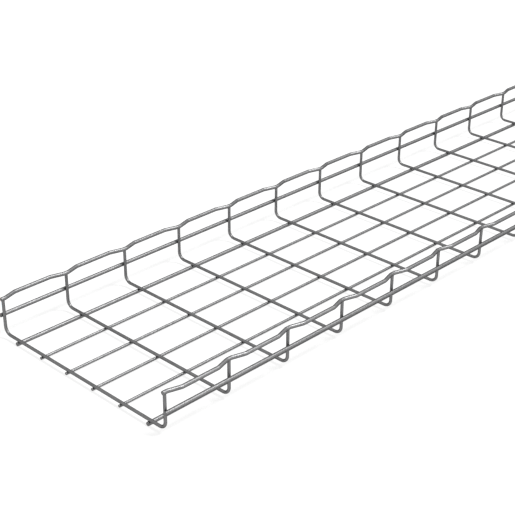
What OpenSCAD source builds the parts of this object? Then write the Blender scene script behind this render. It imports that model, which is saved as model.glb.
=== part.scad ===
// Wire mesh cable basket: a U-shaped tray welded from round steel wire.
// Cross wires are bent up into two uprights. Floor and side wires run along the tray on their
// outer faces, and a waved edge wire caps the uprights on each side.
// Width is along X, length along Y and height along Z. The origin is the middle of the footprint,
// on the surface that the basket stands on.

/* [Channel] */
// Clear width between the uprights
inner_width = 300; // [100:10:600]
// Usable depth, from the top of the cross wires to the top of the edge wires
inner_height = 50; // [45:1:120]
// Number of bays along the tray, each between two cross wires
bay_count = 20; // [1:1:45]
// Distance between two cross wires, centre to centre
bay_pitch = 100; // [60:5:200]

/* [Wires] */
// Diameter of the cross wires
cross_d = 4.2; // [3:0.1:6]
// Diameter of the inner floor wires
floor_d = 3.8; // [3:0.1:6]
// Diameter of the heavy wires: both outer floor wires, the side wires and the edge wires
heavy_d = 5.4; // [4:0.1:8]
// Depth that a crossing wire sinks into the cross wire when it is welded
weld_sink = 0.4; // [0.1:0.1:0.8]

/* [Layout] */
// Distance between two floor wires, centre to centre
floor_pitch = 50; // [25:1:75]
// Height of the side wires above the cross wires' floor run, centre to centre
side_rise = 25; // [18:1:32]
// Inside radius of the bend between floor and upright
bend_inner_r = 8; // [5:0.5:12]
// Length of floor and side wire that sticks out past the end cross wires' centres
wire_stub = 3.6; // [3:0.1:30]
// Length of edge wire that sticks out past the end cross wires' centres
edge_stub = 3; // [2.5:0.1:30]

/* [Edge wave] */
// Length of the straight ramps on which the edge wire swings out from the uprights
ramp_len = 17; // [10:0.5:25]
// Bend radius at both ends of a ramp, on the wire's centre line
wave_r = 8; // [5:0.5:16]
// Straight length of edge wire on each side of an upright's own width
seat_margin = 0.1; // [0.1:0.1:5]

/* [Hidden] */
$fn = 48;
zinc = [0.58, 0.58, 0.58];

// Cross wire: its centre line runs on the floor, round two bends and up
bend_r = bend_inner_r + cross_d / 2;
upright_x = inner_width / 2 + cross_d / 2;
floor_half = upright_x - bend_r;

// Heights, with the cross wires' floor run at cross_z
cross_z = cross_d / 2 - weld_sink + max(heavy_d, floor_d);
edge_z = cross_z + cross_d / 2 + inner_height - heavy_d / 2;
side_z = cross_z + side_rise;
side_x = upright_x + weld_offset(heavy_d);

// Floor wires: as many as fit on the straight run, evenly about the middle
bend_clearance = 1;
floor_reach = floor_half - heavy_d / 2 - bend_clearance;
floor_count = 1 + floor(2 * floor_reach / floor_pitch);

// Length of the tray between the end cross wires
span = bay_count * bay_pitch;

// Slope of the edge wire's ramps, along the tray and outwards. A 7-24-25 triangle gives a
// direction in short exact decimals, so each bend meets its ramp with no sliver between them.
slope = [24, 7];
ramp_dir = slope / norm(slope);
ramp_angle = atan2(slope.y, slope.x);

// Wave: a bend out, a ramp and a bend back take up swing_run of the length
bend_out = wave_r * (1 - ramp_dir.x);
bend_run = wave_r * ramp_dir.y;
wave_depth = 2 * bend_out + ramp_len * ramp_dir.y;
swing_run = 2 * bend_run + ramp_len * ramp_dir.x;
seat_half = cross_d / 2 + seat_margin;
crest_len = bay_pitch - 2 * (seat_half + swing_run);

cross_names = [for (i = [1 : bay_count + 1]) str("cross_wire_", i < 10 ? "0" : "", i)];
floor_names = [for (i = [1 : floor_count]) str("floor_wire_", i)];

// Centre distance between a cross wire and a wire of diameter d welded onto it
function weld_offset(d) = (cross_d + d) / 2 - weld_sink;

// The outermost floor wires are heavy, as they carry the tray on its supports
function floor_wire_d(i) = i == 0 || i == floor_count - 1 ? heavy_d : floor_d;
function floor_wire_x(i) = (i - (floor_count - 1) / 2) * floor_pitch;
function floor_wire_z(i) = cross_z - weld_offset(floor_wire_d(i));

// Straight wire along +Y from the origin
module rod(d, length) {
    rotate([-90, 0, 0])
        cylinder(d = d, h = length);
}

// Straight wire along Y, centred on the origin
module centred_rod(d, length) {
    translate([0, -length / 2, 0])
        rod(d, length);
}

// Quarter bend about the origin, in the XY plane from +X round to +Y
module quarter_bend(d, radius) {
    rotate_extrude(angle = 90)
        translate([radius, 0])
            circle(d = d);
}

// Right half of a cross wire, from the middle of the floor to the edge wire's centre
module cross_wire_half() {
    rotate([0, 90, 0])
        cylinder(d = cross_d, h = floor_half);
    translate([floor_half, 0, bend_r])
        rotate([-90, 0, 0])
            quarter_bend(cross_d, bend_r);
    translate([upright_x, 0, bend_r])
        cylinder(d = cross_d, h = edge_z - cross_z - bend_r);
}

// Everything that is welded onto one cross wire, as the short lengths of wire that it meets
module cross_wire_seats() {
    seat_len = 2 * cross_d;
    for (i = [0 : floor_count - 1])
        translate([floor_wire_x(i), 0, floor_wire_z(i)])
            centred_rod(floor_wire_d(i), seat_len);
    for (side = [-1, 1]) {
        translate([side * side_x, 0, side_z])
            centred_rod(heavy_d, seat_len);
        translate([side * upright_x, 0, edge_z])
            centred_rod(heavy_d, seat_len);
    }
}

// U-bent cross wire, with a saddle at each weld and its ends coped to the edge wires
module cross_wire() {
    color(zinc)
        difference() {
            translate([0, 0, cross_z])
                for (side = [0, 1])
                    mirror([side, 0, 0])
                        cross_wire_half();
            cross_wire_seats();
        }
}

module floor_wire(i) {
    color(zinc)
        translate([floor_wire_x(i), 0, floor_wire_z(i)])
            centred_rod(floor_wire_d(i), span + 2 * wire_stub);
}

module side_wire() {
    color(zinc)
        translate([side_x, 0, side_z])
            centred_rod(heavy_d, span + 2 * wire_stub);
}

// Bend of the edge wire at the origin, from +Y round to the ramps' slope towards +X
module wave_bend() {
    translate([wave_r, 0, 0])
        mirror([1, 0, 0])
            intersection() {
                quarter_bend(heavy_d, wave_r);
                linear_extrude(2 * heavy_d, center = true)
                    polygon([[0, 0], [slope.x, 0], slope]);
            }
}

// Edge wire from the end of a seat, at the origin, out to the start of the crest
module wave_swing() {
    wave_bend();
    translate([bend_out, bend_run, 0])
        rotate([0, 0, -ramp_angle])
            rod(heavy_d, ramp_len);
    translate([wave_depth, swing_run, 0])
        rotate([0, 0, 180])
            wave_bend();
}

// One bay of the edge wire, from one upright's centre to the next
module wave_bay() {
    rod(heavy_d, seat_half);
    translate([0, seat_half, 0])
        wave_swing();
    translate([wave_depth, seat_half + swing_run, 0])
        rod(heavy_d, crest_len);
    translate([0, bay_pitch - seat_half, 0])
        mirror([0, 1, 0])
            wave_swing();
    translate([0, bay_pitch - seat_half, 0])
        rod(heavy_d, seat_half);
}

// Waved edge wire that caps the right-hand uprights
module edge_wire() {
    color(zinc)
        translate([upright_x, -span / 2, edge_z]) {
            translate([0, -edge_stub, 0])
                rod(heavy_d, edge_stub);
            for (bay = [0 : bay_count - 1])
                translate([0, bay * bay_pitch, 0])
                    wave_bay();
            translate([0, span, 0])
                rod(heavy_d, edge_stub);
        }
}

for (i = [0 : bay_count])
    translate([0, i * bay_pitch - span / 2, 0])
            cross_wire();
for (i = [0 : floor_count - 1])
    floor_wire(i);
mirror([1, 0, 0]) side_wire();  // side_wire_left
side_wire();  // side_wire_right
mirror([1, 0, 0]) edge_wire();  // edge_wire_left
edge_wire();  // edge_wire_right
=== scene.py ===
"""Galvanised wire mesh cable basket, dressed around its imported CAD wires.

Every wire of the basket is one piece: a round wire swept along its true centre line, with
sheared ends, welds and a zinc finish. Width is along X, length along Y and height along Z.
"""

import logging
import math
from dataclasses import dataclass, field, replace
from enum import Enum

import bpy
import numpy as np
from mathutils import Euler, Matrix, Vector

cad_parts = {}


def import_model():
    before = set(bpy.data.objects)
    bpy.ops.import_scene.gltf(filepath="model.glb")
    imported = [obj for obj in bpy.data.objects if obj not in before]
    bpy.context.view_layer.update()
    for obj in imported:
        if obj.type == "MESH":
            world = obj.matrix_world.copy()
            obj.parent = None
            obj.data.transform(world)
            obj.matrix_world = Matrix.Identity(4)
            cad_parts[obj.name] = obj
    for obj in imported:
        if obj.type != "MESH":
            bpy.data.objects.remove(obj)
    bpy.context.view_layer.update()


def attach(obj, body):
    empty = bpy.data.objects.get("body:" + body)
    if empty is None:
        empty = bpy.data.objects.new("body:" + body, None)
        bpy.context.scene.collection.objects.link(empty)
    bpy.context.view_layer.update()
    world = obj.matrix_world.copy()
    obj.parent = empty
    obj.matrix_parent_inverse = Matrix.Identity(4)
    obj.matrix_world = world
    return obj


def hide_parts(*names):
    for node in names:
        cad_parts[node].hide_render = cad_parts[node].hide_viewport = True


LOG = logging.getLogger("cable_basket")
MM = 0.001
BODY = "root"
ALONG = "wire_run"
WELD_HEAT = "weld_heat"
# Finish numbers, as the order of the material slots
ON_WIRE, ON_CUT, ON_WELD = 0, 1, 2
# Points about a weld at which a wire gets a ring, as shares of the weld's reach
WELD_MARKS = np.array([-2, -1, -0.5, 0, 0.5, 1, 2])
Array = np.ndarray


# --------------------------------------------------------------------------------------
# Centre lines and swept surfaces
# --------------------------------------------------------------------------------------


@dataclass(frozen=True)
class Stretch:
    """A straight or evenly bent length of wire.

    Attributes:
        length: length along the centre line, in metres.
        turn: angle that the wire turns through over that length, in radians.
        steps: number of equal steps that it is drawn in.
    """

    length: float
    turn: float = 0.0
    steps: int = 1


def bend(radius: float, angle: float, steps: int) -> Stretch:
    """An arc of a centre-line radius; the sign of the angle, in radians, is its direction."""
    return Stretch(radius * abs(angle), angle, steps)


@dataclass(frozen=True)
class CentreLine:
    """Points and headings of a wire that bends in one plane.

    Attributes:
        points: (n, 2) places in the plane, in metres.
        heading: (n,) angle of the wire at each point, in radians from the first axis.
        run: (n,) distance along the wire, in metres.
    """

    points: Array
    heading: Array
    run: Array

    @staticmethod
    def trace(stretches: list[Stretch], start: tuple[float, float], heading: float) -> "CentreLine":
        """Follows the stretches from a start.

        Each step of length s that turns by a is a chord of length s * sin(a/2) / (a/2), laid
        at the heading halfway through the step, so points on an arc are exact. The chords and
        the turns are added up along the wire.

        Args:
            stretches: the lengths of wire in order.
            start: first point in the plane, in metres.
            heading: first direction, in radians from the first axis to the second.

        Returns:
            The centre line, with one point more than it has steps.
        """
        steps = np.array([s.steps for s in stretches])
        length = np.repeat([s.length / s.steps for s in stretches], steps)
        turn = np.repeat([s.turn / s.steps for s in stretches], steps)
        angle = heading + np.concatenate([[0.0], np.cumsum(turn)])
        middle = angle[:-1] + turn / 2
        chord = length * np.sinc(turn / (2 * np.pi))
        moves = chord[:, None] * np.stack([np.cos(middle), np.sin(middle)], axis=1)
        points = np.array(start) + np.concatenate([np.zeros((1, 2)), np.cumsum(moves, axis=0)])
        return CentreLine(points, angle, np.concatenate([[0.0], np.cumsum(length)]))


@dataclass(frozen=True)
class Plane:
    """A plane in the basket's frame.

    Attributes:
        origin: a point of the plane, in metres.
        first: unit vector of its first axis.
        second: unit vector of its second axis.
    """

    origin: tuple[float, float, float]
    first: tuple[float, float, float]
    second: tuple[float, float, float]

    def place(self, points: Array) -> Array:
        """Points of the plane as points of the basket's frame."""
        axes = np.array([self.first, self.second])
        return np.array(self.origin) + points @ axes

    def normal(self) -> Array:
        """Unit normal of the plane."""
        return np.cross(np.array(self.first), np.array(self.second))


@dataclass
class Surface:
    """Vertices, faces and per-vertex values of a mesh that is being put together.

    Attributes:
        vertices: (n, 3) places in metres.
        quads: (m, 4) corner numbers.
        triangles: (k, 3) corner numbers.
        run: (n, 3) place of each vertex in its own wire: distance along it and across it.
        heat: (n,) how near each vertex is to a weld, from 0 to 1.
        quad_finish: (m,) material number of each quad.
        triangle_finish: (k,) material number of each triangle.
    """

    vertices: Array
    quads: Array
    triangles: Array
    run: Array
    heat: Array
    quad_finish: Array
    triangle_finish: Array

    @staticmethod
    def join(parts: list["Surface"]) -> "Surface":
        """One surface from several, in order, with the corner numbers moved on.

        Args:
            parts: the surfaces.

        Returns:
            The joined surface.
        """
        starts = np.cumsum([0] + [len(p.vertices) for p in parts[:-1]])
        return Surface(
            np.concatenate([p.vertices for p in parts]),
            np.concatenate([p.quads + s for p, s in zip(parts, starts)]),
            np.concatenate([p.triangles + s for p, s in zip(parts, starts)]),
            np.concatenate([p.run for p in parts]),
            np.concatenate([p.heat for p in parts]),
            np.concatenate([p.quad_finish for p in parts]),
            np.concatenate([p.triangle_finish for p in parts]),
        )

    def moved(self, offset: Array) -> "Surface":
        """The same surface, shifted."""
        return replace(self, vertices=self.vertices + offset)


def tube_faces(rings: int, sides: int) -> tuple[Array, Array]:
    """Faces of a closed tube of rings, with a pole at each end.

    Quad (i, j) joins ring i to ring i + 1 between corners j and j + 1, counted round the ring.
    The poles are the two vertices after the last ring.

    Args:
        rings: number of rings.
        sides: number of corners in a ring.

    Returns:
        The quads and the triangles of the two end fans, all facing outwards.
    """
    ring, corner = np.meshgrid(np.arange(rings - 1), np.arange(sides), indexing="ij")
    after = (corner + 1) % sides
    here, there = ring * sides, (ring + 1) * sides
    quads = np.stack([here + corner, here + after, there + after, there + corner], axis=-1)
    corner = np.arange(sides)
    after = (corner + 1) % sides
    first, last, base = rings * sides, rings * sides + 1, (rings - 1) * sides
    triangles = np.concatenate(
        [
            np.stack([np.full(sides, first), after, corner], axis=1),
            np.stack([np.full(sides, last), base + corner, base + after], axis=1),
        ]
    )
    return quads.reshape(-1, 4), triangles


@dataclass(frozen=True)
class ShearedEnd:
    """How a wire's cut end looks: a small rolled edge round a flat face.

    Attributes:
        roll: radius of the rolled edge as a share of the wire's radius.
        steps: rings that the rolled edge is drawn in.
    """

    roll: float = 0.12
    steps: int = 2

    def rings(self, radius: float) -> tuple[Array, Array]:
        """Place of each ring of the rolled edge, from the end face to the wire's full width.

        With the angle q from 0 at the face to 90 degrees at the wire's side, and the roll e as
        a share of the radius r, a ring lies e * r * (1 - cos q) in from the face and has the
        radius r * (1 - e * (1 - sin q)).

        Args:
            radius: the wire's radius.

        Returns:
            Distance in from the face, and share of the full radius, of each ring.
        """
        angle = np.linspace(0, np.pi / 2, self.steps + 1)
        return self.roll * radius * (1 - np.cos(angle)), 1 - self.roll * (1 - np.sin(angle))


@dataclass(frozen=True)
class RoundWire:
    """A round wire swept along a centre line.

    Attributes:
        diameter: wire diameter in metres.
        sides: corners in each ring.
        end: how both cut ends look.
    """

    diameter: float
    sides: int = 24
    end: ShearedEnd = field(default_factory=ShearedEnd)

    def sweep(self, line: CentreLine, plane: Plane, heat: Array, seed: float) -> Surface:
        """The wire's closed surface.

        With the wire's direction t, the plane's normal b and n = b x t, corner j of a ring of
        radius r lies at p + r * (cos(a) * n + sin(a) * b), with a = 2 pi j / sides. Near both
        ends the rings draw in along a rolled edge, and a pole closes each end face.

        Args:
            line: the centre line, in the plane.
            plane: where the plane lies.
            heat: (n,) nearness to a weld at each point of the centre line.
            seed: offset of this wire's pattern along itself, in metres.

        Returns:
            The surface, with the cut finish on its end faces.
        """
        radius = self.diameter / 2
        inset, share = self.end.rings(radius)
        middle = slice(1, -1)
        run = np.concatenate([line.run[0] + inset, line.run[middle], (line.run[-1] - inset)[::-1]])
        shares = np.concatenate([share, np.ones(len(line.run) - 2), share[::-1]])
        points = np.stack([np.interp(run, line.run, line.points[:, k]) for k in (0, 1)], axis=1)
        heading = np.interp(run, line.run, line.heading)
        warmth = np.interp(run, line.run, heat)
        normal = plane.normal()
        axes = np.array([plane.first, plane.second])
        along = np.stack([np.cos(heading), np.sin(heading)], axis=1) @ axes
        side = np.cross(normal, along)
        angle = 2 * np.pi * np.arange(self.sides) / self.sides
        spokes = np.cos(angle)[:, None] * side[:, None, :] + np.sin(angle)[:, None] * normal
        centre = plane.place(points)
        rings = centre[:, None, :] + radius * shares[:, None, None] * spokes
        place = np.stack(
            [
                np.broadcast_to((run + seed)[:, None], rings.shape[:2]),
                radius * shares[:, None] * np.cos(angle),
                radius * shares[:, None] * np.sin(angle),
            ],
            axis=-1,
        )
        poles = centre[[0, -1]]
        pole_place = np.array([[run[0] + seed, 0, 0], [run[-1] + seed, 0, 0]])
        quads, triangles = tube_faces(len(run), self.sides)
        return Surface(
            np.concatenate([rings.reshape(-1, 3), poles]),
            quads,
            triangles,
            np.concatenate([place.reshape(-1, 3), pole_place]),
            np.concatenate([np.repeat(warmth, self.sides), warmth[[0, -1]]]),
            np.full(len(quads), ON_WIRE),
            np.full(len(triangles), ON_CUT),
        )


def weld_heat(run: Array, crossings: Array, reach: float) -> Array:
    """Nearness to the nearest weld, exp(-(d / reach)^2) at the distance d from it.

    Args:
        run: (n,) distances along a wire.
        crossings: (m,) where its welds are.
        reach: distance over which the nearness falls.

    Returns:
        (n,) nearness, 1 at a weld.
    """
    gap = np.abs(run[:, None] - crossings[None, :]).min(axis=1)
    return np.exp(-((gap / reach) ** 2))


# --------------------------------------------------------------------------------------
# Finishes
# --------------------------------------------------------------------------------------


class ZincEffects:
    """Shader node groups that the basket's finishes share."""

    GRAIN = "drawn_zinc_grain"
    HEAT = "weld_heat_tint"

    @staticmethod
    def new_group(name: str, inputs: dict[str, float], outputs: list[str]) -> bpy.types.NodeTree:
        """An empty shader group with float inputs, colour output Color and float outputs.

        Args:
            name: the group's name.
            inputs: name and default of each input.
            outputs: names of the outputs; Color is a colour and the rest are values.

        Returns:
            The node group, with its input and output nodes placed.
        """
        group = bpy.data.node_groups.new(name, "ShaderNodeTree")
        for label, default in inputs.items():
            socket = group.interface.new_socket(label, in_out="INPUT", socket_type="NodeSocketFloat")
            socket.default_value = default
        for label in outputs:
            kind = "NodeSocketColor" if label == "Color" else "NodeSocketFloat"
            group.interface.new_socket(label, in_out="OUTPUT", socket_type=kind)
        group.nodes.new("NodeGroupInput").location = (-900, 0)
        group.nodes.new("NodeGroupOutput").location = (900, 0)
        return group

    @classmethod
    def grain(cls) -> bpy.types.NodeTree:
        """Drawn wire under zinc: streaks along the wire, a soft mottle and fine pits.

        Returns:
            A group with the inputs Streaks, Mottle and Pits, each the strength of one effect,
            and the outputs Tone (a value about 1 that the colour is multiplied by),
            Rough (added to the roughness) and Height.
        """
        found = bpy.data.node_groups.get(cls.GRAIN)
        if found:
            return found
        group = cls.new_group(
            cls.GRAIN, {"Streaks": 0.12, "Mottle": 0.15, "Pits": 0.1}, ["Tone", "Rough", "Height"]
        )
        nodes, links = group.nodes, group.links
        source, sink = nodes["Group Input"], nodes["Group Output"]
        place = nodes.new("ShaderNodeAttribute")
        place.attribute_name = ALONG

        def noise(scale: tuple[float, float, float], detail: float) -> bpy.types.NodeSocket:
            """A noise field on the wire's own coordinates.

            Args:
                scale: how many waves fit in a metre, along and across the wire.
                detail: how many finer layers it has.

            Returns:
                A value of about -1 to 1.
            """
            stretch = nodes.new("ShaderNodeMapping")
            stretch.inputs["Scale"].default_value = scale
            links.new(place.outputs["Vector"], stretch.inputs["Vector"])
            field_ = nodes.new("ShaderNodeTexNoise")
            field_.inputs["Scale"].default_value = 1.0
            field_.inputs["Detail"].default_value = detail
            links.new(stretch.outputs["Vector"], field_.inputs["Vector"])
            spread = nodes.new("ShaderNodeMapRange")
            spread.inputs["From Min"].default_value = 0.3
            spread.inputs["From Max"].default_value = 0.7
            spread.inputs["To Min"].default_value = -1.0
            spread.inputs["To Max"].default_value = 1.0
            links.new(field_.outputs["Fac"], spread.inputs["Value"])
            return spread.outputs["Result"]

        def math_node(kind: str, first: object, second: object) -> bpy.types.NodeSocket:
            """A Math node.

            Args:
                kind: its operation.
                first: its first operand, a socket or a number.
                second: its second operand.

            Returns:
                Its result.
            """
            node = nodes.new("ShaderNodeMath")
            node.operation = kind
            for slot, operand in zip(node.inputs, (first, second)):
                if isinstance(operand, (int, float)):
                    slot.default_value = operand
                else:
                    links.new(operand, slot)
            return node.outputs[0]

        streak = noise((90.0, 1900.0, 1900.0), 3.0)
        mottle = noise((170.0, 260.0, 260.0), 4.0)
        pits = noise((2600.0, 2600.0, 2600.0), 2.0)
        streaks = math_node("MULTIPLY", streak, source.outputs["Streaks"])
        mottled = math_node("MULTIPLY", mottle, source.outputs["Mottle"])
        pitted = math_node("MULTIPLY", pits, source.outputs["Pits"])
        tone = math_node("ADD", math_node("ADD", streaks, mottled), 1.0)
        pit_rough = math_node("MULTIPLY", pitted, 0.5)
        mottle_rough = math_node("MULTIPLY", mottled, 0.35)
        rough = math_node("SUBTRACT", pit_rough, mottle_rough)
        height = math_node("ADD", math_node("MULTIPLY", streaks, 0.6), pitted)
        links.new(tone, sink.inputs["Tone"])
        links.new(rough, sink.inputs["Rough"])
        links.new(height, sink.inputs["Height"])
        return group

    @classmethod
    def heat(cls) -> bpy.types.NodeTree:
        """Dulling round a weld.

        Returns:
            A group with the input Strength and the outputs Shade, a value of 1 away from welds
            that falls by Strength at them, and Dull, which rises to Strength at them.
        """
        found = bpy.data.node_groups.get(cls.HEAT)
        if found:
            return found
        group = cls.new_group(cls.HEAT, {"Strength": 0.3}, ["Shade", "Dull"])
        nodes, links = group.nodes, group.links
        near = nodes.new("ShaderNodeAttribute")
        near.attribute_name = WELD_HEAT
        cut = nodes.new("ShaderNodeMath")
        cut.operation = "MULTIPLY"
        links.new(near.outputs["Fac"], cut.inputs[0])
        links.new(nodes["Group Input"].outputs["Strength"], cut.inputs[1])
        shade = nodes.new("ShaderNodeMath")
        shade.operation = "SUBTRACT"
        shade.inputs[0].default_value = 1.0
        links.new(cut.outputs[0], shade.inputs[1])
        links.new(shade.outputs[0], nodes["Group Output"].inputs["Shade"])
        links.new(cut.outputs[0], nodes["Group Output"].inputs["Dull"])
        return group


@dataclass(frozen=True)
class ZincFinish:
    """A zinc-plated steel surface.

    Attributes:
        name: the material's name.
        colour: plain reflectance, the same in red, green and blue to within a little.
        roughness: roughness before the grain is added.
        metallic: how far the surface reflects as bare metal.
        rim: how bright it reflects where it turns away from the eye, as a share of a mirror.
        streaks: strength of the drawing streaks along the wire.
        mottle: strength of the soft mottle.
        pits: strength of the fine pits.
        heat: how far a weld dulls it.
        bump: depth of the grain in metres.
    """

    name: str
    colour: tuple[float, float, float]
    roughness: float
    metallic: float
    rim: float
    streaks: float
    mottle: float
    pits: float
    heat: float
    bump: float

    def material(self) -> bpy.types.Material:
        """The finish as a material: colour times grain tone times weld shade, on a rough metal."""
        material = bpy.data.materials.get(self.name)
        if material:
            return material
        material = bpy.data.materials.new(self.name)
        material.use_nodes = True
        nodes, links = material.node_tree.nodes, material.node_tree.links
        shader = nodes["Principled BSDF"]
        shader.inputs["Metallic"].default_value = self.metallic
        shader.inputs["Specular Tint"].default_value = (self.rim, self.rim, self.rim, 1.0)
        grain = nodes.new("ShaderNodeGroup")
        grain.node_tree = ZincEffects.grain()
        grain.inputs["Streaks"].default_value = self.streaks
        grain.inputs["Mottle"].default_value = self.mottle
        grain.inputs["Pits"].default_value = self.pits
        heat = nodes.new("ShaderNodeGroup")
        heat.node_tree = ZincEffects.heat()
        heat.inputs["Strength"].default_value = self.heat
        tone = nodes.new("ShaderNodeMath")
        tone.operation = "MULTIPLY"
        links.new(grain.outputs["Tone"], tone.inputs[0])
        links.new(heat.outputs["Shade"], tone.inputs[1])
        colour = nodes.new("ShaderNodeVectorMath")
        colour.operation = "SCALE"
        colour.inputs[0].default_value = self.colour
        links.new(tone.outputs[0], colour.inputs["Scale"])
        links.new(colour.outputs[0], shader.inputs["Base Color"])
        dull = nodes.new("ShaderNodeMath")
        dull.operation = "MULTIPLY_ADD"
        links.new(heat.outputs["Dull"], dull.inputs[0])
        dull.inputs[1].default_value = 0.4
        links.new(grain.outputs["Rough"], dull.inputs[2])
        rough = nodes.new("ShaderNodeMath")
        rough.operation = "ADD"
        rough.use_clamp = True
        rough.inputs[1].default_value = self.roughness
        links.new(dull.outputs[0], rough.inputs[0])
        links.new(rough.outputs[0], shader.inputs["Roughness"])
        relief = nodes.new("ShaderNodeBump")
        relief.inputs["Strength"].default_value = 1.0
        relief.inputs["Distance"].default_value = self.bump
        links.new(grain.outputs["Height"], relief.inputs["Height"])
        links.new(relief.outputs["Normal"], shader.inputs["Normal"])
        return material


class Finish(Enum):
    """The basket's finishes, in the order of the material slots of every wire."""

    WIRE = ZincFinish(
        "zinc_plated_wire", (0.193, 0.193, 0.195), roughness=0.43, metallic=1.0, rim=0.1,
        streaks=0.10, mottle=0.08, pits=0.06, heat=0.04, bump=0.012 * MM,
    )
    CUT = ZincFinish(
        "sheared_wire_end", (0.22, 0.22, 0.222), roughness=0.42, metallic=1.0, rim=0.1,
        streaks=0.0, mottle=0.12, pits=0.20, heat=0.0, bump=0.03 * MM,
    )
    WELD = ZincFinish(
        "zinc_over_weld", (0.22, 0.22, 0.222), roughness=0.45, metallic=1.0, rim=0.1,
        streaks=0.0, mottle=0.12, pits=0.15, heat=0.0, bump=0.02 * MM,
    )


def make_piece(name: str, surface: Surface, node: str) -> bpy.types.Object:
    """A dressed object from a surface, which rides on the basket and stands for a CAD wire.

    Args:
        name: the piece's name.
        surface: its mesh.
        node: the CAD node that it stands for.

    Returns:
        The new object.
    """
    mesh = bpy.data.meshes.new(name)
    quads, triangles = surface.quads, surface.triangles
    mesh.vertices.add(len(surface.vertices))
    mesh.vertices.foreach_set("co", surface.vertices.astype(np.float32).ravel())
    corners = np.concatenate([quads.ravel(), triangles.ravel()])
    sizes = np.concatenate([np.full(len(quads), 4), np.full(len(triangles), 3)])
    mesh.loops.add(len(corners))
    mesh.loops.foreach_set("vertex_index", corners.astype(np.int32))
    mesh.polygons.add(len(sizes))
    mesh.polygons.foreach_set("loop_start", (np.cumsum(sizes) - sizes).astype(np.int32))
    finish = np.concatenate([surface.quad_finish, surface.triangle_finish])
    mesh.polygons.foreach_set("material_index", finish.astype(np.int32))
    mesh.polygons.foreach_set("use_smooth", finish != ON_CUT)
    run = mesh.attributes.new(ALONG, "FLOAT_VECTOR", "POINT")
    run.data.foreach_set("vector", surface.run.astype(np.float32).ravel())
    heat = mesh.attributes.new(WELD_HEAT, "FLOAT", "POINT")
    heat.data.foreach_set("value", surface.heat.astype(np.float32))
    mesh.update(calc_edges=True)
    mesh.validate()
    for choice in Finish:
        mesh.materials.append(choice.value.material())
    piece = bpy.data.objects.new(name, mesh)
    bpy.context.scene.collection.objects.link(piece)
    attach(piece, BODY)
    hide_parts(node)
    LOG.info("%s: %d faces", name, len(sizes))
    return piece


# --------------------------------------------------------------------------------------
# The basket
# --------------------------------------------------------------------------------------


@dataclass(frozen=True)
class Layout:
    """Sizes that the basket's wires share, in metres.

    Attributes:
        bays: bays along the basket.
        pitch: distance between two cross wires.
        cross_d: diameter of the cross wires.
        heavy_d: diameter of the outer floor wires, the side wires and the edge wires.
        floor_d: diameter of the inner floor wires.
        sink: how deep a long wire sits in the cross wire.
        upright_x: uprights' centre lines, to either side of the middle.
        bend_r: centre-line radius of the cross wires' bends.
        cross_z: height of the cross wires' floor run.
        edge_z: height of the edge wires.
        side_z: height of the side wires.
        floor_x: places of the floor wires.
        stub: length of floor and side wire past the end cross wires' centres.
        edge_stub: the same for the edge wires.
    """

    bays: int = 20
    pitch: float = 100 * MM
    cross_d: float = 4.2 * MM
    heavy_d: float = 5.4 * MM
    floor_d: float = 3.8 * MM
    sink: float = 0.4 * MM
    upright_x: float = 152.1 * MM
    bend_r: float = 10.1 * MM
    cross_z: float = 7.1 * MM
    edge_z: float = 56.5 * MM
    side_z: float = 32.1 * MM
    floor_x: tuple[float, ...] = (-125 * MM, -75 * MM, -25 * MM, 25 * MM, 75 * MM, 125 * MM)
    stub: float = 3.6 * MM
    edge_stub: float = 3.0 * MM

    @property
    def span(self) -> float:
        """Distance between the two end cross wires."""
        return self.bays * self.pitch

    @property
    def cross_y(self) -> Array:
        """Places of the cross wires along the basket."""
        return np.linspace(-self.span / 2, self.span / 2, self.bays + 1)

    def offset(self, diameter: float) -> float:
        """Centre distance between a cross wire and a long wire welded onto it."""
        return (self.cross_d + diameter) / 2 - self.sink

    def floor_wire_d(self, number: int) -> float:
        """Diameter of a floor wire, counted from 0; the outermost two are heavy."""
        return self.heavy_d if number in (0, len(self.floor_x) - 1) else self.floor_d


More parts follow.
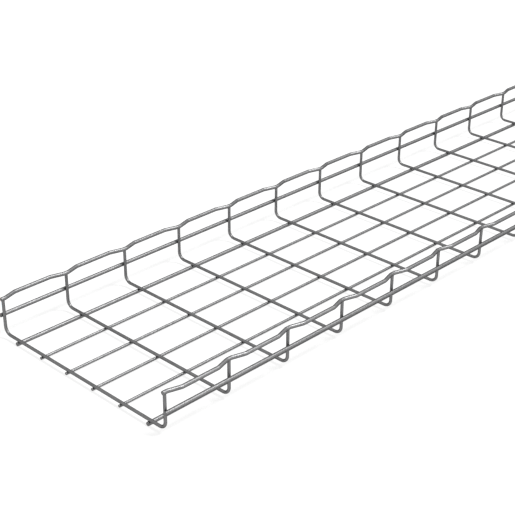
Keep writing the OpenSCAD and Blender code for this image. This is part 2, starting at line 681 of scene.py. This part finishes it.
@dataclass(frozen=True)
class WeldFillet:
    """The metal squeezed out where two wires are welded.

    Attributes:
        depth: widest gap between crossing wires that it fills, in metres.
        waist: how far its side draws in between the wires, as a share of its width.
        widest: most of a wire's radius that it reaches out to.
        bury: how far its ends lie inside crossing wires, in metres.
        snug: radius of the collar's lower end, as a share of the upright's.
        flare: the collar's reach across and along the wire on top, as shares of the upright's.
        collar: length of the collar down the upright, in metres.
        collar_bury: how far the collar's upper end lies inside the wire on top, in metres.
        sides: corners round it.
        bands: rings from one wire to the other, less one.
        unevenness: how much its width varies, as a share.
    """

    depth: float = 0.3 * MM
    waist: float = 0.16
    widest: float = 0.9
    bury: float = 0.15 * MM
    snug: float = 0.97
    flare: tuple[float, float] = (1.15, 1.2)
    collar: float = 1.0 * MM
    collar_bury: float = 0.1 * MM
    sides: int = 12
    bands: int = 3
    unevenness: float = 0.12

    def grid(self, rng: np.random.Generator) -> tuple[Array, Array, Array]:
        """What both shapes are functions of.

        Args:
            rng: source of the unevenness.

        Returns:
            The angle round the fillet, its unevenness at each, and the step from 0 to 1 from
            one wire to the other.
        """
        angle = 2 * np.pi * np.arange(self.sides) / self.sides
        wobble = 1 + self.unevenness * rng.uniform(-1, 1, self.sides)
        return angle, wobble, np.linspace(0, 1, self.bands + 1)[:, None]

    def closed(self, x: Array, y: Array, z: Array) -> Surface:
        """A closed surface from rings of corners, with a pole level with each end's far corner."""
        rings = np.stack([x, y, z], axis=-1)
        poles = np.array([[0, 0, z[0].min()], [0, 0, z[-1].max()]])
        quads, triangles = tube_faces(self.bands + 1, self.sides)
        vertices = np.concatenate([rings.reshape(-1, 3), poles])
        return Surface(
            vertices,
            quads,
            triangles,
            vertices.copy(),
            np.ones(len(vertices)),
            np.full(len(quads), ON_WELD),
            np.full(len(triangles), ON_WELD),
        )

    def crossing(
        self, across: float, along: float, sink: float, rng: np.random.Generator
    ) -> Surface:
        """A fillet between a cross wire and a long wire over it.

        The x axis runs along the cross wire, y along the long wire and z from the cross wire's
        centre to the long wire's. The wires' gap is about x^2 / 2R + y^2 / 2r - sink, so the
        fillet's outline is the ellipse on which that is its depth. Between the two wires its
        radius is the outline's times 1 - waist * sin(pi t), with t from 0 to 1.

        Args:
            across: radius of the cross wire.
            along: radius of the long wire.
            sink: depth that they sit in each other.
            rng: source of its unevenness.

        Returns:
            The closed surface about the cross wire's centre.
        """
        angle, wobble, step = self.grid(rng)
        fill = self.depth + sink
        half_x = min(math.sqrt(2 * along * fill), self.widest * along)
        half_y = min(math.sqrt(2 * across * fill), self.widest * across)
        share = (1 - self.waist * np.sin(np.pi * step)) * wobble
        most = 0.95
        x = np.clip(half_x * share * np.cos(angle), -most * along, most * along)
        y = np.clip(half_y * share * np.sin(angle), -most * across, most * across)
        low = np.sqrt(across**2 - y**2) - self.bury
        high = across + along - sink - np.sqrt(along**2 - x**2) + self.bury
        return self.closed(x, y, low + (high - low) * step)

    def butt(self, upright: float, rail: float, rng: np.random.Generator) -> Surface:
        """A collar where an upright's end meets the wire on top of it.

        The rail's centre is the origin and the upright comes from below. The collar's radius
        grows from the upright's to an ellipse on the rail's underside, as
        r + (w - r) * t^2 with t from 0 on the upright to 1 on the rail.

        Args:
            upright: radius of the upright.
            rail: radius of the wire on top.
            rng: source of its unevenness.

        Returns:
            The closed surface about the rail's centre.
        """
        angle, wobble, step = self.grid(rng)
        opening = step**2 * wobble
        snug = self.snug * upright
        x = (snug + (self.flare[0] * upright - snug) * opening) * np.cos(angle)
        y = (snug + (self.flare[1] * upright - snug) * opening) * np.sin(angle)
        most = 0.97 * rail
        low = -np.sqrt(rail**2 - np.clip(upright * np.cos(angle), -most, most) ** 2) - self.collar
        high = -np.sqrt(rail**2 - np.clip(x[-1], -most, most) ** 2) + self.collar_bury
        return self.closed(x, y, low + (high - low) * step)


def turned(surface: Surface, axes: Array, origin: Array) -> Surface:
    """A surface turned and shifted, with its faces kept facing outwards.

    Args:
        surface: the surface.
        axes: (3, 3) rows along which its x, y and z axes are laid.
        origin: where its origin goes.

    Returns:
        The placed surface.
    """
    placed = replace(surface, vertices=surface.vertices @ axes + origin)
    if np.linalg.det(axes) < 0:
        placed.quads = placed.quads[:, ::-1]
        placed.triangles = placed.triangles[:, ::-1]
    return placed


@dataclass
class CrossWires:
    """The U-bent cross wires, each with the welds that hold the long wires on it.

    Attributes:
        layout: the basket's shared sizes.
        fillet: how a weld looks.
        bend_steps: steps in each bend.
        near_weld: distance over which a weld dulls the wire.
    """

    layout: Layout
    fillet: WeldFillet = field(default_factory=WeldFillet)
    bend_steps: int = 12
    near_weld: float = 5 * MM

    def centre_line(self) -> tuple[CentreLine, Array]:
        """The wire from the left upright's top, along the floor, to the right one's.

        Returns:
            The centre line, and where its welds are along it.
        """
        size = self.layout
        rise = size.edge_z - size.cross_z - size.bend_r
        half = size.upright_x - size.bend_r
        quarter = size.bend_r * math.pi / 2
        side = size.side_z - size.cross_z - size.bend_r
        floor_at = rise + quarter + half + np.array(size.floor_x)
        total = 2 * (rise + quarter + half)
        welds = np.concatenate([[0, rise - side], floor_at, [total - rise + side, total]])
        floor_stops = np.array(size.floor_x) + half
        line = CentreLine.trace(
            [
                *self.cut(rise, np.array([rise - side])),
                bend(size.bend_r, math.pi / 2, self.bend_steps),
                *self.cut(2 * half, floor_stops),
                bend(size.bend_r, math.pi / 2, self.bend_steps),
                *self.cut(rise, np.array([side])),
            ],
            (-size.upright_x, size.edge_z),
            -math.pi / 2,
        )
        return line, welds

    def cut(self, length: float, stops: Array) -> list[Stretch]:
        """A straight length, with extra points where a weld's dulling changes fast.

        Args:
            length: the length.
            stops: where its welds are along it.

        Returns:
            The stretches that make it up.
        """
        marks = (stops[:, None] + self.near_weld * WELD_MARKS).ravel()
        marks = np.unique(np.clip(np.concatenate([[0, length], marks]), 0, length))
        gaps = np.diff(marks)
        return [Stretch(g) for g in gaps[gaps > 0.001 * MM]]

    def welds(self, rng: np.random.Generator) -> list[Surface]:
        """The fillets on one cross wire: at each floor wire, side wire and edge wire.

        Args:
            rng: source of their unevenness.

        Returns:
            The fillets, about the wire's place along the basket.
        """
        size = self.layout
        across = size.cross_d / 2
        made = []
        down = np.array([[1.0, 0, 0], [0, 1, 0], [0, 0, -1]])
        for number, x in enumerate(size.floor_x):
            shape = self.fillet.crossing(across, size.floor_wire_d(number) / 2, size.sink, rng)
            made.append(turned(shape, down, np.array([x, 0, size.cross_z])))
        for side in (-1.0, 1.0):
            out = np.array([[0, 0, 1.0], [0, 1, 0], [side, 0, 0]])
            shape = self.fillet.crossing(across, size.heavy_d / 2, size.sink, rng)
            made.append(turned(shape, out, np.array([side * size.upright_x, 0, size.side_z])))
            shape = self.fillet.butt(across, size.heavy_d / 2, rng)
            made.append(shape.moved(np.array([side * size.upright_x, 0, size.edge_z])))
        return made

    def build(self) -> list[bpy.types.Object]:
        """All the cross wires, from the near end to the far end."""
        size = self.layout
        line, welds = self.centre_line()
        heat = weld_heat(line.run, welds, self.near_weld)
        pieces = []
        for number, y in enumerate(size.cross_y, start=1):
            rng = np.random.default_rng(100 + number)
            plane = Plane((0, y, 0), (1, 0, 0), (0, 0, 1))
            wire = RoundWire(size.cross_d).sweep(line, plane, heat, rng.uniform(0, 5))
            shift = np.array([0, y, 0])
            surface = Surface.join([wire] + [w.moved(shift) for w in self.welds(rng)])
            name = f"cross_wire_{number:02d}"
            pieces.append(make_piece(f"welded_{name}", surface, name))
        return pieces


@dataclass
class StraightWires:
    """The floor wires under the cross wires and the side wires outside the uprights.

    Attributes:
        layout: the basket's shared sizes.
        near_weld: distance over which a weld dulls the wire.
    """

    layout: Layout
    near_weld: float = 5 * MM

    def build_one(
        self, name: str, diameter: float, x: float, z: float, seed: float
    ) -> bpy.types.Object:
        """One straight wire along the basket.

        Args:
            name: the CAD node's name.
            diameter: wire diameter.
            x: place across the basket.
            z: height of the centre line.
            seed: offset of its pattern.

        Returns:
            The piece.
        """
        size = self.layout
        start = -size.span / 2 - size.stub
        length = size.span + 2 * size.stub
        marks = (size.cross_y[:, None] - start + self.near_weld * WELD_MARKS).ravel()
        marks = np.concatenate([[0, length], marks])
        marks = np.unique(np.round(np.clip(marks, 0, length), 6))
        line = CentreLine.trace([Stretch(g) for g in np.diff(marks)], (start, 0), 0.0)
        heat = weld_heat(line.run, size.cross_y - start, self.near_weld)
        plane = Plane((x, 0, z), (0, 1, 0), (-1, 0, 0))
        surface = RoundWire(diameter).sweep(line, plane, heat, seed)
        return make_piece(f"plated_{name}", surface, name)

    def build(self) -> list[bpy.types.Object]:
        """The six floor wires from left to right, then the side wires."""
        size = self.layout
        rng = np.random.default_rng(7)
        pieces = []
        for number, x in enumerate(size.floor_x):
            diameter = size.floor_wire_d(number)
            z = size.cross_z - size.offset(diameter)
            name, seed = f"floor_wire_{number + 1}", rng.uniform(0, 5)
            pieces.append(self.build_one(name, diameter, x, z, seed))
        reach = size.upright_x + size.offset(size.heavy_d)
        for side, x in (("left", -reach), ("right", reach)):
            name, seed = f"side_wire_{side}", rng.uniform(0, 5)
            pieces.append(self.build_one(name, size.heavy_d, x, size.side_z, seed))
        return pieces


@dataclass
class EdgeWires:
    """The waved wires on top of the uprights.

    Attributes:
        layout: the basket's shared sizes.
        seat: half the straight length over each upright.
        wave_r: centre-line radius of the wave's bends.
        ramp: straight length of each ramp.
        slope: angle of the ramps to the basket's length.
        bend_steps: steps in each bend.
        near_weld: distance over which a weld dulls the wire.
    """

    layout: Layout
    seat: float = 2.2 * MM
    wave_r: float = 8 * MM
    ramp: float = 17 * MM
    slope: float = math.atan2(7, 24)
    bend_steps: int = 4
    near_weld: float = 5 * MM

    def bay(self) -> list[Stretch]:
        """One bay: seat, out, ramp, back, crest, and the same the other way."""
        size = self.layout
        swing = 2 * self.wave_r * math.sin(self.slope) + self.ramp * math.cos(self.slope)
        crest = size.pitch - 2 * (self.seat + swing)
        out = bend(self.wave_r, -self.slope, self.bend_steps)
        back = bend(self.wave_r, self.slope, self.bend_steps)
        rise = [Stretch(self.seat), out, Stretch(self.ramp, 0, 3), back]
        return [*rise, Stretch(crest, 0, 4), *rise[::-1]]

    def build_one(self, side: int, seed: float) -> bpy.types.Object:
        """The edge wire of one side, -1 for the left and 1 for the right.

        Args:
            side: which side.
            seed: offset of its pattern.

        Returns:
            The piece.
        """
        size = self.layout
        stub = Stretch(size.edge_stub)
        line = CentreLine.trace(
            [stub, *(self.bay() * size.bays), stub], (-size.span / 2 - size.edge_stub, 0), 0.0
        )
        at = np.interp(size.cross_y, line.points[:, 0], line.run)
        heat = weld_heat(line.run, at, self.near_weld)
        plane = Plane((side * size.upright_x, 0, size.edge_z), (0, 1, 0), (-side, 0, 0))
        surface = RoundWire(size.heavy_d).sweep(line, plane, heat, seed)
        name = "edge_wire_left" if side < 0 else "edge_wire_right"
        return make_piece(f"plated_{name}", surface, name)

    def build(self) -> list[bpy.types.Object]:
        """Both edge wires."""
        return [self.build_one(-1, 1.7), self.build_one(1, 3.1)]


# --------------------------------------------------------------------------------------
# Studio
# --------------------------------------------------------------------------------------


@dataclass(frozen=True)
class SoftLamp:
    """A wide lamp so far away that it lights the whole basket and floor evenly.

    Attributes:
        name: the lamp's name.
        direction: from the basket towards the lamp.
        strength: light on a surface that faces it, in watts per square metre.
        spread: how wide the lamp looks from the basket, in degrees.
    """

    name: str
    direction: tuple[float, float, float]
    strength: float
    spread: float

    def hang(self) -> bpy.types.Object:
        """The lamp, aimed at the basket."""
        data = bpy.data.lights.new(self.name, "SUN")
        data.energy = self.strength
        data.angle = math.radians(self.spread)
        lamp = bpy.data.objects.new(self.name, data)
        bpy.context.scene.collection.objects.link(lamp)
        towards = Vector(self.direction).normalized()
        lamp.location = towards * 3
        lamp.rotation_euler = towards.to_track_quat("Z", "Y").to_euler()
        return lamp


@dataclass(frozen=True)
class Studio:
    """A white floor and background with soft lamps, and the camera.

    Attributes:
        ambient: strength of the world for everything but the background.
        floor_glow: light that the floor gives off towards the camera.
        floor_colour: plain reflectance of the floor.
        floor_size: side of the floor, in metres.
        lamps: the soft lamps.
    """

    ambient: float = 0.2
    floor_glow: float = 0.84
    floor_colour: float = 0.3
    floor_size: float = 40.0
    lamps: tuple[SoftLamp, ...] = (
        SoftLamp("key_lamp", (0.34, 0.34, 0.88), 2.6, 16.0),
        SoftLamp("fill_lamp", (1.0, 0.49, 0.22), 0.35, 38.0),
    )

    def world(self) -> None:
        """A white background that reflections show too, and a dimmer even light."""
        world = bpy.data.worlds.new("studio_white")
        bpy.context.scene.world = world
        world.use_nodes = True
        nodes, links = world.node_tree.nodes, world.node_tree.links
        backdrop = nodes["Background"]
        backdrop.inputs["Color"].default_value = (1, 1, 1, 1)
        path = nodes.new("ShaderNodeLightPath")
        seen = self.seen_directly(nodes, links, path)
        strength = nodes.new("ShaderNodeMapRange")
        strength.inputs["To Min"].default_value = self.ambient
        strength.inputs["To Max"].default_value = 1.0
        links.new(seen, strength.inputs["Value"])
        links.new(strength.outputs["Result"], backdrop.inputs["Strength"])

    @staticmethod
    def seen_directly(
        nodes: bpy.types.Nodes, links: bpy.types.NodeLinks, path: bpy.types.Node
    ) -> bpy.types.NodeSocket:
        """Nodes that tell what sees the background.

        Args:
            nodes: the tree's nodes.
            links: the tree's links.
            path: its Light Path node.

        Returns:
            1 for a camera, glossy or transmission ray, and 0 for the others.
        """
        total = path.outputs["Is Camera Ray"]
        for kind in ("Is Glossy Ray", "Is Transmission Ray"):
            add = nodes.new("ShaderNodeMath")
            add.operation = "MAXIMUM"
            links.new(total, add.inputs[0])
            links.new(path.outputs[kind], add.inputs[1])
            total = add.outputs[0]
        return total

    def floor(self) -> bpy.types.Object:
        """A white floor that keeps the basket's shadow and glows where it is seen."""
        half = self.floor_size / 2
        mesh = bpy.data.meshes.new("white_floor")
        corners = half * np.array([[-1, -1], [1, -1], [1, 1], [-1, 1]])
        mesh.from_pydata([(x, y, 0.0) for x, y in corners], [], [(0, 1, 2, 3)])
        material = bpy.data.materials.new("white_floor")
        material.use_nodes = True
        nodes, links = material.node_tree.nodes, material.node_tree.links
        shader = nodes["Principled BSDF"]
        grey = self.floor_colour
        shader.inputs["Base Color"].default_value = (grey, grey, grey, 1)
        shader.inputs["Roughness"].default_value = 1.0
        shader.inputs["Specular IOR Level"].default_value = 0.0
        shader.inputs["Emission Color"].default_value = (1, 1, 1, 1)
        path = nodes.new("ShaderNodeLightPath")
        glow = nodes.new("ShaderNodeMath")
        glow.operation = "MULTIPLY"
        glow.inputs[1].default_value = self.floor_glow
        links.new(self.seen_directly(nodes, links, path), glow.inputs[0])
        links.new(glow.outputs[0], shader.inputs["Emission Strength"])
        mesh.materials.append(material)
        floor = bpy.data.objects.new("white_floor", mesh)
        bpy.context.scene.collection.objects.link(floor)
        return floor

    def camera(self) -> bpy.types.Object:
        """The camera, looking down along the basket from its near right-hand corner."""
        data = bpy.data.cameras.new("camera")
        data.sensor_width = 36.0
        data.lens = 85.59
        data.shift_x = 0.0347
        data.shift_y = 0.0598
        data.clip_end = 100.0
        camera = bpy.data.objects.new("camera", data)
        camera.location = (1.01512, -1.74501, 0.79649)
        camera.rotation_euler = Euler(np.radians([61.80, 0.028, 45.0]))
        bpy.context.scene.collection.objects.link(camera)
        bpy.context.scene.camera = camera
        return camera

    def build(self) -> None:
        """The camera, the world, the floor and the lamps."""
        self.camera()
        self.world()
        self.floor()
        for lamp in self.lamps:
            lamp.hang()
        bpy.context.scene.view_settings.view_transform = "Standard"


def main() -> None:
    """Builds the studio and the basket in order."""
    logging.basicConfig(level=logging.INFO, format="%(name)s: %(message)s")
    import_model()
    Studio().build()
    layout = Layout()
    CrossWires(layout).build()
    StraightWires(layout).build()
    EdgeWires(layout).build()


if __name__ == "__main__":
    main()
